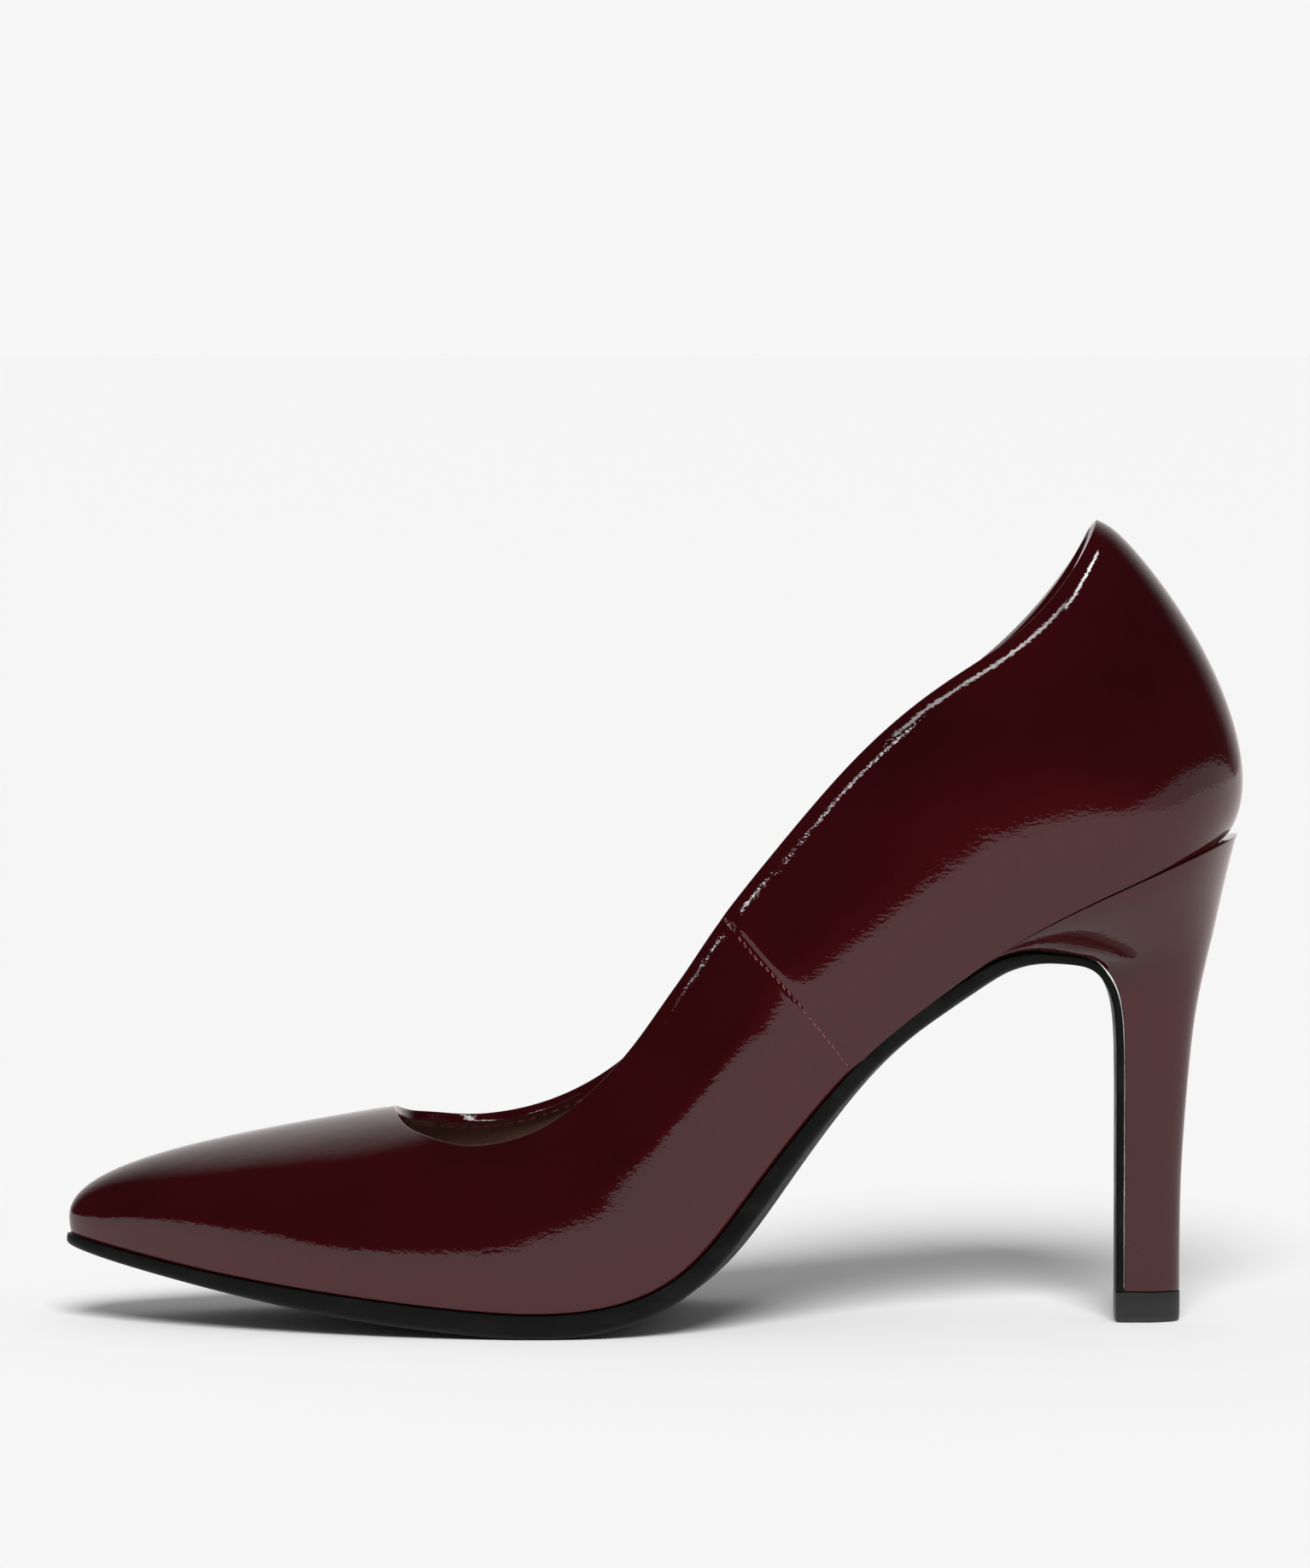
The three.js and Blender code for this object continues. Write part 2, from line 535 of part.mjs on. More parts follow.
// A line of the breast flap at a place down the heel.
function flapStation(place, side) {
  const step = 0.05;
  const front = (at, edgeSide) => heelPoint(at, edgeSide, 0);
  const middle = (at) => front(at, 'inner').add(front(at, 'outer')).multiplyScalar(0.5);
  const squareTo = (pointAt) => {
    const along = pointAt(Math.min(place + step, heelLast)).sub(pointAt(Math.max(place - step, 0)));
    return new THREE.Vector3(along.z, 0, -along.x).normalize();
  };
  const rise = squareTo((at) => front(at, side));
  const spineRise = squareTo(middle);
  const thinned = THREE.MathUtils.smoothstep(place, 0, flapPlace);
  const thick = THREE.MathUtils.lerp(soleThick(soleRows), flapThickness, thinned);
  return plateLine({
    spine: middle(place).addScaledVector(spineRise, fitGap),
    edge: front(place, side).addScaledVector(rise, fitGap),
    out: new THREE.Vector3(0, sideSign[side], 0),
    rise,
    spineRise,
    thick,
    spineThick: thick + soleCrown(soleRows) * (1 - thinned),
    inset: THREE.MathUtils.lerp(soleRound(soleRows), flapThickness / 2, thinned),
    high: thick * edgeRound,
  });
}
function outsole() {
  const sideLines = (side) => {
    const lines = [];
    for (let i = 0; i <= soleRows * linesPerRow; i++) lines.push(soleStation(i / linesPerRow, side));
    for (let i = 1; i <= heelLast * ringsPerSection; i++) lines.push(flapStation(i / ringsPerSection, side));
    return lines;
  };
  const inner = sideLines('inner').map((line) => line.reverse());
  const outer = sideLines('outer').map((line) => line.reverse());
  const lines = [...outer.reverse().slice(0, -1), ...inner];
  const end = (line, facing) => {
    const fan = [];
    for (let j = 1; j < line.length - 1; j++) {
      fan.push(facing ? [line[0], line[j], line[j + 1]] : [line[0], line[j + 1], line[j]]);
    }
    return fan;
  };
  const ends = [...end(lines[0], true), ...end(lines.at(-1), false)];
  return meshOf('outsole', [...skin(lines), ...ends], satinBlack);
}

const pump = new THREE.Group();
pump.add(upper(), insole(), outsole(), heel(), topPiece());

// The origin is on the floor, in the middle of the shoe's length and width.
const bounds = new THREE.Box3().setFromObject(pump);
const middle = bounds.getCenter(new THREE.Vector3());
pump.position.set(-middle.x, -middle.y, -bounds.min.z);

export default pump;
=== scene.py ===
"""Patent stiletto pump, the right shoe of a pair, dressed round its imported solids.

The toe points to -X, the inner side of the foot faces -Y, and all sizes are in metres.
"""

import logging
import math
import random
from collections.abc import Iterable, Sequence
from dataclasses import dataclass, field
from enum import Enum

import bpy
from mathutils import Matrix, Vector
from mathutils.kdtree import KDTree


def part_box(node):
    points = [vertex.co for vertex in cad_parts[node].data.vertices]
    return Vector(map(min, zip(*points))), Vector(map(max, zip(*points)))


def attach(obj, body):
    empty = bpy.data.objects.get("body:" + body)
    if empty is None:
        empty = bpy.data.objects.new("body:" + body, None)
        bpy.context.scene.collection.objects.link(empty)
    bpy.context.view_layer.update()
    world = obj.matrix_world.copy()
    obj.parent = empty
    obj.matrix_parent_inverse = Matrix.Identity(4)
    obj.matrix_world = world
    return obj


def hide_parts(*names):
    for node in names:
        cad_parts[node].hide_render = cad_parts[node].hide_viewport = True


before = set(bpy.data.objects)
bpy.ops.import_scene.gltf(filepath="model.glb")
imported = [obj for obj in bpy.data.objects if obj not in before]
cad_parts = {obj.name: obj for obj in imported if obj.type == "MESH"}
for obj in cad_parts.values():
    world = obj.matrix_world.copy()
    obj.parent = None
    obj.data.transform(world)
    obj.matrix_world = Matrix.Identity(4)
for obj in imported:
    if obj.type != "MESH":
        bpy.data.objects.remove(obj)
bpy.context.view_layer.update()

log = logging.getLogger("pump")
MM = 0.001
BODY = "root"
PAINTED_REFLECTION = "painted_floor_reflection"
TINY = 1e-7

Colour = tuple[float, float, float]
Triple = tuple[float, float, float]
Path = Sequence[tuple[Vector, Vector]]
WHITE = (1.0, 1.0, 1.0)


def eased(share: float) -> float:
    """Smooth rise from 0 to 1, level beyond both."""
    held = max(0.0, min(1.0, share))
    return held * held * (3 - 2 * held)


class Slot(Enum):
    """The record's material slots."""

    PATENT = "patent"
    SOCK = "sock"
    SOLE = "sole"
    TIP = "tip"


class Skin(Enum):
    """Material places on the upper's shell."""

    OUTSIDE = 0
    FOLD = 1
    LINING = 2


class Value:
    """A shader socket that takes part in Python arithmetic."""

    def __init__(self, nodes: "Nodes", socket: bpy.types.NodeSocket) -> None:
        """Wraps one output socket of a node tree."""
        self.nodes = nodes
        self.socket = socket

    def _math(self, operation: str, *operands: "Value | float") -> "Value":
        """Adds a Math node on the operands and returns its result."""
        settings = {"operation": operation}
        return self.nodes.add("ShaderNodeMath", settings, dict(enumerate(operands)))

    def __add__(self, other: "Value | float") -> "Value":
        """self + other."""
        return self._math("ADD", self, other)

    def __radd__(self, other: float) -> "Value":
        """other + self."""
        return self._math("ADD", other, self)

    def __sub__(self, other: "Value | float") -> "Value":
        """self - other."""
        return self._math("SUBTRACT", self, other)

    def __rsub__(self, other: float) -> "Value":
        """other - self."""
        return self._math("SUBTRACT", other, self)

    def __mul__(self, other: "Value | float") -> "Value":
        """self * other."""
        return self._math("MULTIPLY", self, other)

    def __rmul__(self, other: float) -> "Value":
        """other * self."""
        return self._math("MULTIPLY", other, self)

    def above(self, low: float, high: float) -> "Value":
        """Smooth rise from 0 at low to 1 at high.

        Args:
            low: Where the rise starts.
            high: Where it ends. It may lie below low for a fall.

        Returns:
            The mask.
        """
        return self.nodes.add(
            "ShaderNodeMapRange",
            {"interpolation_type": "SMOOTHSTEP"},
            {"Value": self, "From Min": low, "From Max": high},
        )

    def or_more(self, other: "Value") -> "Value":
        """The larger of two values."""
        return self._math("MAXIMUM", self, other)


class Nodes:
    """A node tree built from Python expressions."""

    def __init__(self, tree: bpy.types.NodeTree) -> None:
        """Takes over a material's or a world's node tree."""
        self.tree = tree

    def node(
        self,
        kind: str,
        settings: dict[str, object] | None = None,
        inputs: dict[str | int, object] | None = None,
    ) -> bpy.types.Node:
        """Adds one node.

        Args:
            kind: The node's type.
            settings: The node's own properties, set first.
            inputs: Values or links for its sockets, by name or place.

        Returns:
            The node.
        """
        node = self.tree.nodes.new(kind)
        for key, setting in (settings or {}).items():
            setattr(node, key, setting)
        for key, given in (inputs or {}).items():
            self._fill(node.inputs[key], given)
        return node

    def add(
        self,
        kind: str,
        settings: dict[str, object] | None = None,
        inputs: dict[str | int, object] | None = None,
        output: str | int = 0,
    ) -> Value:
        """Adds one node and returns one of its outputs, by name or place."""
        return Value(self, self.node(kind, settings, inputs).outputs[output])

    def split(self, point: Value, axis: str) -> Value:
        """One coordinate of a point: X, Y or Z."""
        return self.add("ShaderNodeSeparateXYZ", inputs={"Vector": point}, output=axis)

    def _fill(self, socket: bpy.types.NodeSocket, given: object) -> None:
        """Links a value to a socket, or sets the socket's own constant."""
        if isinstance(given, Value):
            self.tree.links.new(given.socket, socket)
        elif isinstance(given, tuple) and len(given) == 3 and socket.type == "RGBA":
            socket.default_value = (*given, 1.0)
        else:
            socket.default_value = given


class Shader(Nodes):
    """A node material with one principled surface."""

    def __init__(self, name: str) -> None:
        """Starts a material of that name with its principled surface."""
        self.material = bpy.data.materials.new(name)
        self.material.use_nodes = True
        super().__init__(self.material.node_tree)
        self.surface = self.tree.nodes["Principled BSDF"]

    def put(self, **sockets: object) -> bpy.types.Material:
        """Fills sockets of the principled surface.

        Args:
            sockets: Values or links by socket name, with _ for a blank.

        Returns:
            The material.
        """
        for name, given in sockets.items():
            self._fill(self.surface.inputs[name.replace("_", " ")], given)
        return self.material

    def place(self) -> Value:
        """The point on the object, in metres."""
        return self.add("ShaderNodeTexCoord", output="Object")

    def stretched(self, scale: Triple, turn: float = 0.0) -> Value:
        """The point on the object, scaled for a pattern that runs one way.

        Args:
            scale: How far the pattern is squeezed along X, Y and Z.
            turn: Degrees that it is turned about Y first.

        Returns:
            The scaled point.
        """
        return self.add(
            "ShaderNodeMapping",
            {"vector_type": "TEXTURE"},
            {
                "Vector": self.place(),
                "Rotation": (0.0, math.radians(turn), 0.0),
                "Scale": tuple(1.0 / part for part in scale),
            },
        )

    def noise(
        self, size: float, detail: float = 2.0, rough: float = 0.5, at: Value | None = None
    ) -> Value:
        """Soft noise from 0 to 1.

        Args:
            size: The width of its grains in metres.
            detail: How many finer layers it has.
            rough: How strong the finer layers are.
            at: The point to read it at, or None for the plain one.

        Returns:
            The noise.
        """
        return self.add(
            "ShaderNodeTexNoise",
            {"noise_dimensions": "3D"},
            {
                "Vector": at or self.place(),
                "Scale": 1.0 / size,
                "Detail": detail,
                "Roughness": rough,
            },
        )

    def cells(self, size: float) -> Value:
        """Distance in cell widths to the nearest cell border, for cells of a size in metres."""
        return self.add(
            "ShaderNodeTexVoronoi",
            {"feature": "DISTANCE_TO_EDGE"},
            {"Vector": self.place(), "Scale": 1.0 / size},
        )

    def own(self, name: str) -> Value:
        """One of the piece's own numbers, kept at its vertices."""
        return self.add("ShaderNodeAttribute", {"attribute_name": name}, output="Fac")

    def blend(self, share: Value, first: "Colour | Value", second: "Colour | Value") -> Value:
        """A colour between two.

        Args:
            share: 0 for the first, 1 for the second.
            first: Linear red, green and blue, or a colour's value.
            second: Linear red, green and blue, or a colour's value.

        Returns:
            The colour.
        """
        return self.add(
            "ShaderNodeMix",
            {"data_type": "RGBA"},
            {"Factor": share, 6: first, 7: second},
            output=2,
        )

    def relief(self, height: Value) -> Value:
        """A normal from a height in metres."""
        return self.add(
            "ShaderNodeBump",
            inputs={"Height": height, "Strength": 1.0, "Distance": 1.0},
        )


@dataclass(frozen=True)
class Patent:
    """Oxblood patent leather: a dark red coat beneath clear lacquer, with a fine crinkle and a
    painted reflection of the floor where it faces down.
    """

    name: str
    deep: Colour = (0.0170, 0.0014, 0.0019)
    warm: Colour = (0.0235, 0.0018, 0.0025)
    # Painted reflection: the pale floor's mauve, painted into the colour where the surface faces
    # down.
    painted_floor_reflection: Colour = (0.0400, 0.0028, 0.0036)
    tone: float = 30 * MM
    tone_span: tuple[float, float] = (0.3, 0.7)
    ripple: float = 9 * MM
    ripple_height: float = 0.080 * MM
    crinkle: float = 1.4 * MM
    crinkle_height: float = 0.026 * MM
    crinkle_rough: float = 0.55
    crinkle_squeeze: Triple = (1.0, 1.0, 1.9)
    grain: float = 0.5 * MM
    grain_height: float = 0.003 * MM
    gloss: float = 0.03
    specular: float = 0.5
    refraction: float = 1.5
    haze: float = 0.12
    haze_rough: float = 0.35
    haze_tint: Colour = (1.0, 0.30, 0.28)

    def build(self) -> bpy.types.Material:
        """Builds the material and returns it."""
        shader = Shader(self.name)
        along = shader.stretched(self.crinkle_squeeze)
        wave = shader.noise(self.ripple, detail=1.0) * self.ripple_height
        crinkle = shader.noise(self.crinkle, rough=self.crinkle_rough, at=along)
        folds = crinkle * self.crinkle_height
        grain = shader.noise(self.grain, detail=1.0) * self.grain_height
        tone = shader.noise(self.tone).above(*self.tone_span)
        top = shader.blend(tone, self.deep, self.warm)
        return shader.put(
            # Painted reflection: the base colour turns to the floor's mauve where the surface
            # faces down.
            Base_Color=shader.blend(shader.own(PAINTED_REFLECTION), top, self.painted_floor_reflection),
            Roughness=self.gloss,
            Specular_IOR_Level=self.specular,
            IOR=self.refraction,
            Sheen_Weight=self.haze,
            Sheen_Roughness=self.haze_rough,
            Sheen_Tint=self.haze_tint,
            Normal=shader.relief(wave + folds + grain),
        )


@dataclass(frozen=True)
class Lining:
    """Smooth brown leather, matt, with fine pores and slight darkening in patches."""

    name: str
    pale: Colour = (0.200, 0.108, 0.078)
    dark: Colour = (0.125, 0.064, 0.046)
    patch: float = 18 * MM
    patch_span: tuple[float, float] = (0.3, 0.75)
    patch_share: float = 0.7
    pore: float = 0.9 * MM
    pore_span: tuple[float, float] = (0.0, 0.16)
    pore_share: float = 0.3
    pore_height: float = 0.02 * MM
    grain: float = 0.6 * MM
    grain_height: float = 0.03 * MM
    rough: float = 0.52
    patch_rough: float = 0.14
    specular: float = 0.4

    def build(self) -> bpy.types.Material:
        """Builds the material and returns it."""
        shader = Shader(self.name)
        patches = shader.noise(self.patch, detail=3.0).above(*self.patch_span)
        pores = shader.cells(self.pore).above(*self.pore_span)
        grain = shader.noise(self.grain)
        dark = patches * self.patch_share + (1 - pores) * self.pore_share
        return shader.put(
            Base_Color=shader.blend(dark, self.pale, self.dark),
            Roughness=self.rough + patches * self.patch_rough,
            Specular_IOR_Level=self.specular,
            Normal=shader.relief(pores * self.pore_height + grain * self.grain_height),
        )


@dataclass(frozen=True)
class SatinSole:
    """Black moulded sole with a satin skin and a faint grain."""

    name: str
    black: Colour = (0.0044, 0.0041, 0.0041)
    grey: Colour = (0.0105, 0.0102, 0.0100)
    scuff: float = 14 * MM
    scuff_rough: float = 0.6
    scuff_squeeze: Triple = (1.0, 1.0, 2.4)
    scuff_span: tuple[float, float] = (0.42, 0.75)
    scuff_share: float = 0.7
    scuff_height: float = 0.05 * MM
    speck: float = 0.9 * MM
    speck_span: tuple[float, float] = (0.70, 0.76)
    speck_share: float = 0.5
    grain: float = 0.45 * MM
    grain_height: float = 0.018 * MM
    rough: float = 0.42
    rough_span: tuple[float, float] = (0.3, 0.7)
    rough_more: float = 0.12
    specular: float = 0.09

    def build(self) -> bpy.types.Material:
        """Builds the material and returns it."""
        shader = Shader(self.name)
        along = shader.stretched(self.scuff_squeeze)
        scuffs = shader.noise(self.scuff, 4.0, self.scuff_rough, along)
        grain = shader.noise(self.grain)
        specks = shader.noise(self.speck, detail=1.0).above(*self.speck_span)
        pale = scuffs.above(*self.scuff_span) * self.scuff_share + specks * self.speck_share
        return shader.put(
            Base_Color=shader.blend(pale, self.black, self.grey),
            Roughness=self.rough + scuffs.above(*self.rough_span) * self.rough_more,
            Specular_IOR_Level=self.specular,
            Normal=shader.relief(grain * self.grain_height + scuffs * self.scuff_height),
        )


@dataclass(frozen=True)
class TipRubber:
    """Hard black rubber of the heel tip, worn paler where it meets the floor."""

    name: str
    black: Colour = (0.017, 0.0168, 0.0165)
    worn: Colour = (0.040, 0.039, 0.038)
    worn_high: float = 1.2 * MM
    wear: float = 1.6 * MM
    wear_span: tuple[float, float] = (0.35, 0.7)
    grain: float = 0.35 * MM
    grain_height: float = 0.03 * MM
    rough: float = 0.5
    wear_rough: float = 0.2
    specular: float = 0.4

    def build(self) -> bpy.types.Material:
        """Builds the material and returns it."""
        shader = Shader(self.name)
        low = shader.split(shader.place(), "Z").above(self.worn_high, 0.0)
        wear = low * shader.noise(self.wear, detail=3.0).above(*self.wear_span)
        grain = shader.noise(self.grain)
        return shader.put(
            Base_Color=shader.blend(wear, self.black, self.worn),
            Roughness=self.rough + wear * self.wear_rough,
            Specular_IOR_Level=self.specular,
            Normal=shader.relief(grain * self.grain_height),
        )


@dataclass(frozen=True)
class Thread:
    """Waxed thread in the upper's red, with pale streaks along its twist as a painted highlight.
    """

    name: str
    # Painted highlight: the pale pink of the bright streaks on the twist.
    pale: Colour = (0.17, 0.036, 0.040)
    dark: Colour = (0.045, 0.006, 0.008)
    twist: float = 0.35 * MM
    twist_squeeze: Triple = (1.0, 1.0, 0.35)
    twist_turn: float = 35.0
    painted_highlight_span: tuple[float, float] = (0.35, 0.65)
    twist_height: float = 0.05 * MM
    rough: float = 0.22
    wax: float = 0.6
    wax_rough: float = 0.12

    def build(self) -> bpy.types.Material:
        """Builds the material and returns it."""
        shader = Shader(self.name)
        along = shader.stretched(self.twist_squeeze, self.twist_turn)
        twist = shader.noise(self.twist, detail=1.0, at=along)
        return shader.put(
            # The twist's pale streaks are painted highlights.
            Base_Color=shader.blend(twist.above(*self.painted_highlight_span), self.dark, self.pale),
            Roughness=self.rough,
            Coat_Weight=self.wax,
            Coat_Roughness=self.wax_rough,
            Normal=shader.relief(twist * self.twist_height),
        )


@dataclass(frozen=True)
class Paper:
    """Pale matt studio floor."""

    name: str = "studio_floor"
    colour: Colour = (0.86, 0.86, 0.86)
    rough: float = 0.95
    specular: float = 0.1

    def build(self) -> bpy.types.Material:
        """Builds the material and returns it."""
        return Shader(self.name).put(
            Base_Color=self.colour, Roughness=self.rough, Specular_IOR_Level=self.specular
        )


class Bench:
    """Mesh work that the pieces share, done with Blender's own tools."""

    merge: float = 0.004 * MM
    even_flow: float = 2.0
    painted_reflection_slope: float = 3.5

    @staticmethod
    def only(piece: bpy.types.Object) -> None:
        """Makes one object the only selected and the active one."""
        if bpy.context.object and bpy.context.object.mode != "OBJECT":
            bpy.ops.object.mode_set(mode="OBJECT")
        bpy.ops.object.select_all(action="DESELECT")
        piece.select_set(True)
        bpy.context.view_layer.objects.active = piece

    @staticmethod
    def none_picked(piece: bpy.types.Object, mode: str) -> None:
        """Deselects all of a mesh.

        Args:
            piece: The mesh object.
            mode: What is picked next: EDGE or FACE.
        """
        Bench.only(piece)
        bpy.ops.object.mode_set(mode="EDIT")
        bpy.ops.mesh.select_mode(type=mode)
        bpy.ops.mesh.select_all(action="DESELECT")
        bpy.ops.object.mode_set(mode="OBJECT")

    @staticmethod
    def copy_of(node: str, name: str) -> bpy.types.Object:
        """Copies a solid as a clean mesh of quads.

        Args:
            node: The solid's node.
            name: The new piece's name.

        Returns:
            The new piece.
        """
        piece = bpy.data.objects.new(name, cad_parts[node].data.copy())
        piece.data.name = name
        piece.data.materials.clear()
        bpy.context.scene.collection.objects.link(piece)
        Bench.only(piece)
        bpy.ops.mesh.customdata_custom_splitnormals_clear()
        bpy.ops.object.mode_set(mode="EDIT")
        bpy.ops.mesh.select_all(action="SELECT")
        bpy.ops.mesh.remove_doubles(threshold=Bench.merge)
        bpy.ops.mesh.tris_convert_to_quads(
            face_threshold=math.pi,
            shape_threshold=math.pi,
            topology_influence=Bench.even_flow,
        )
        bpy.ops.mesh.select_all(action="DESELECT")
        bpy.ops.object.mode_set(mode="OBJECT")
        threes = sum(len(face.vertices) == 3 for face in piece.data.polygons)
        log.info("%s: %d faces, %d of them triangles", name, len(piece.data.polygons), threes)
        return piece

    @staticmethod
    def flat_from(
        piece: bpy.types.Object, seed: Vector, facing: Vector, sharp: float
    ) -> set[int]:
        """Finds the faces that join the one nearest a point without a sharp edge between.

        Args:
            piece: The mesh object.
            seed: A point near the first face.
            facing: The way that the first face faces, to 60 degrees.
            sharp: Degrees that end the patch.

        Returns:
            The places of those faces in the mesh.
        """
        faces = [face for face in piece.data.polygons if face.normal.dot(facing) > 0.5]
        first = min(faces, key=lambda face: (face.center - seed).length).index
        Bench.none_picked(piece, "FACE")
        piece.data.polygons[first].select = True
        bpy.ops.object.mode_set(mode="EDIT")
        bpy.ops.mesh.faces_select_linked_flat(sharpness=math.radians(sharp))
        bpy.ops.object.mode_set(mode="OBJECT")
        return {face.index for face in piece.data.polygons if face.select}

    @staticmethod
    def crease_sharp(piece: bpy.types.Object, sharp: float) -> None:
        """Creases the sharp edges, so that they stay where they are when the mesh is smoothed.

        Args:
            piece: The mesh object.
            sharp: Degrees above which an edge is sharp.
        """
        Bench.none_picked(piece, "EDGE")
        bpy.ops.object.mode_set(mode="EDIT")
        bpy.ops.mesh.edges_select_sharp(sharpness=math.radians(sharp))
        bpy.ops.transform.edge_crease(value=1.0)
        bpy.ops.object.mode_set(mode="OBJECT")

    @staticmethod
    def smooth(piece: bpy.types.Object, levels: int) -> None:
        """Subdivides the mesh smoothly and applies it.

        Args:
            piece: The mesh object.
            levels: How often each face is split in four.
        """
        Bench.only(piece)
        modifier = piece.modifiers.new("smooth", "SUBSURF")
        modifier.levels = levels
        modifier.render_levels = levels
        bpy.ops.object.modifier_apply(modifier="smooth")

    @staticmethod
    def round_edges(piece: bpy.types.Object, width: float, segments: int, sharp: float) -> None:
        """Rounds the sharp edges and applies it.

        Args:
            piece: The mesh object.
            width: How far the rounding reaches from the edge.
            segments: Its number of steps.
            sharp: Degrees above which an edge is rounded.
        """
        Bench.only(piece)
        modifier = piece.modifiers.new("rounding", "BEVEL")
        modifier.limit_method = "ANGLE"
        modifier.angle_limit = math.radians(sharp)
        modifier.width = width
        modifier.segments = segments
        bpy.ops.object.modifier_apply(modifier="rounding")

    @staticmethod
    def shade(piece: bpy.types.Object, sharp: float) -> None:
        """Shades the mesh smoothly but for its sharp edges."""
        Bench.only(piece)
        bpy.ops.object.shade_smooth_by_angle(angle=math.radians(sharp))

    @staticmethod
    def note_painted_reflection(piece: bpy.types.Object) -> None:
        """Keeps at each vertex how far the surface faces the floor, the mask for the patent's
        painted reflection of the floor.
        """
        values = piece.data.attributes.new(PAINTED_REFLECTION, "FLOAT", "POINT")
        for vertex, value in zip(piece.data.vertices, values.data):
            value.value = eased(0.5 - Bench.painted_reflection_slope * vertex.normal.z)

    @staticmethod
    def finish(
        piece: bpy.types.Object,
        materials: Sequence[bpy.types.Material],
        slot: Slot,
        nodes: Iterable[str] = (),
    ) -> None:
        """Dresses a piece and joins it to the frame.

        Args:
            piece: The finished mesh object.
            materials: Its materials, in the order of its faces' material places.
            slot: The record's material slot; not used.
            nodes: The solids that it stands for.
        """
        places = [face.material_index for face in piece.data.polygons]
        piece.data.materials.clear()
        for material in materials:
            piece.data.materials.append(material)
        for face, place in zip(piece.data.polygons, places):
            face.material_index = min(place, len(materials) - 1)
        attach(piece, BODY)
        for node in nodes:
            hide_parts(node)
        # The mask for the patent's painted floor reflection.
        Bench.note_painted_reflection(piece)
        log.info("%s: %d faces", piece.name, len(piece.data.polygons))


@dataclass
class Stitching:
    """A row of sewn stitches that lies on a surface."""

    name: str
    length: float = 1.9 * MM
    gap: float = 0.5 * MM
    width: float = 0.42 * MM
    slant: float = 0.0
    sway: float = 5.0
    sunk: float = 0.1 * MM
    sides: int = 8
    rings: int = 7
    blunt: float = 1.35
    dip: float = 0.25
    shade_angle: float = 60.0
    seed: int = 4

    def build(self, path: Path, closed: bool) -> bpy.types.Object:
        """Lays stitches end to end along a path.

        Args:
            path: Points and the surface's normals there, in order.
            closed: Whether the path returns to its start.

        Returns:
            The stitches as one mesh object.
        """
        rng = random.Random(self.seed)
        one = self._stitch()
        copies = []
        for centre, along, normal in self._spots(path, closed):
            angle = math.radians(self.slant + rng.uniform(-self.sway, self.sway))
            along = Matrix.Rotation(angle, 3, normal) @ along
            side = normal.cross(along)
            turn = Matrix((along, side, normal)).transposed().to_4x4()
            place = Matrix.Translation(centre - normal * self.sunk)
            stitch = one.copy()
            stitch.data = one.data.copy()
            stitch.data.transform(place @ turn)
            bpy.context.scene.collection.objects.link(stitch)
            copies.append(stitch)
        bpy.data.objects.remove(one)
        Bench.only(copies[0])
        for stitch in copies:
            stitch.select_set(True)
        bpy.ops.object.join()
        row = bpy.context.object
        row.name = row.data.name = self.name
        Bench.shade(row, self.shade_angle)
        return row

    def _stitch(self) -> bpy.types.Object:
        """Models one stitch: a bar that dips into the leather at both ends."""
        bpy.ops.object.select_all(action="DESELECT")
        bpy.ops.mesh.primitive_uv_sphere_add(
            segments=self.sides, ring_count=self.rings, radius=0.5
        )
        stitch = bpy.context.object
        bpy.ops.transform.rotate(
            value=math.radians(90), orient_axis="Y", center_override=(0.0, 0.0, 0.0)
        )
        bpy.ops.transform.resize(value=(self.length, self.width, self.width))
        bpy.ops.object.transform_apply(location=True, rotation=True, scale=True)
        for vertex in stitch.data.vertices:
            share = 2 * vertex.co.x / self.length
            full = math.copysign(min(abs(share) * self.blunt, 1.0), share)
            vertex.co.x = full * self.length / 2
            vertex.co.z -= self.dip * self.width * share * share
        return stitch

    def _spots(self, path: Path, closed: bool) -> list[tuple[Vector, Vector, Vector]]:
        """Centres, directions and normals of the stitches along the path."""
        points = list(path) + ([path[0]] if closed else [])
        spots = []
        walked = 0.0
        pitch = self.length + self.gap
        reach = pitch / 2
        for (here, up_here), (there, up_there) in zip(points, points[1:]):
            step = (there - here).length
            if step < TINY:
                continue
            along = (there - here) / step
            while walked + step >= reach:
                share = (reach - walked) / step
                normal = up_here.lerp(up_there, share)
                normal = (normal - along * normal.dot(along)).normalized()
                spots.append((here.lerp(there, share), along, normal))
                reach += pitch
            walked += step
        return spots


@dataclass
class Crease:
    """A soft trough or ridge in the upper, placed in the side view."""

    start: tuple[float, float]
    end: tuple[float, float]
    width: float
    height: float
    ends: float = 0.12

    def lift(self, point: Vector) -> float:
        """How far the crease lifts a point of the inner side.

        Args:
            point: The point.

        Returns:
            The lift in metres, less than 0 in a trough.
        """
        here = Vector((point.x, point.z))
        first = Vector(self.start)
        line = Vector(self.end) - first
        share = max(0.0, min(1.0, (here - first).dot(line) / line.length_squared))
        away = (here - first - line * share).length / self.width
        if away >= 1.0:
            return 0.0
        fade = math.sin(math.pi * (self.ends + (1.0 - 2 * self.ends) * share))
        return self.height * fade * (0.5 + 0.5 * math.cos(math.pi * away))


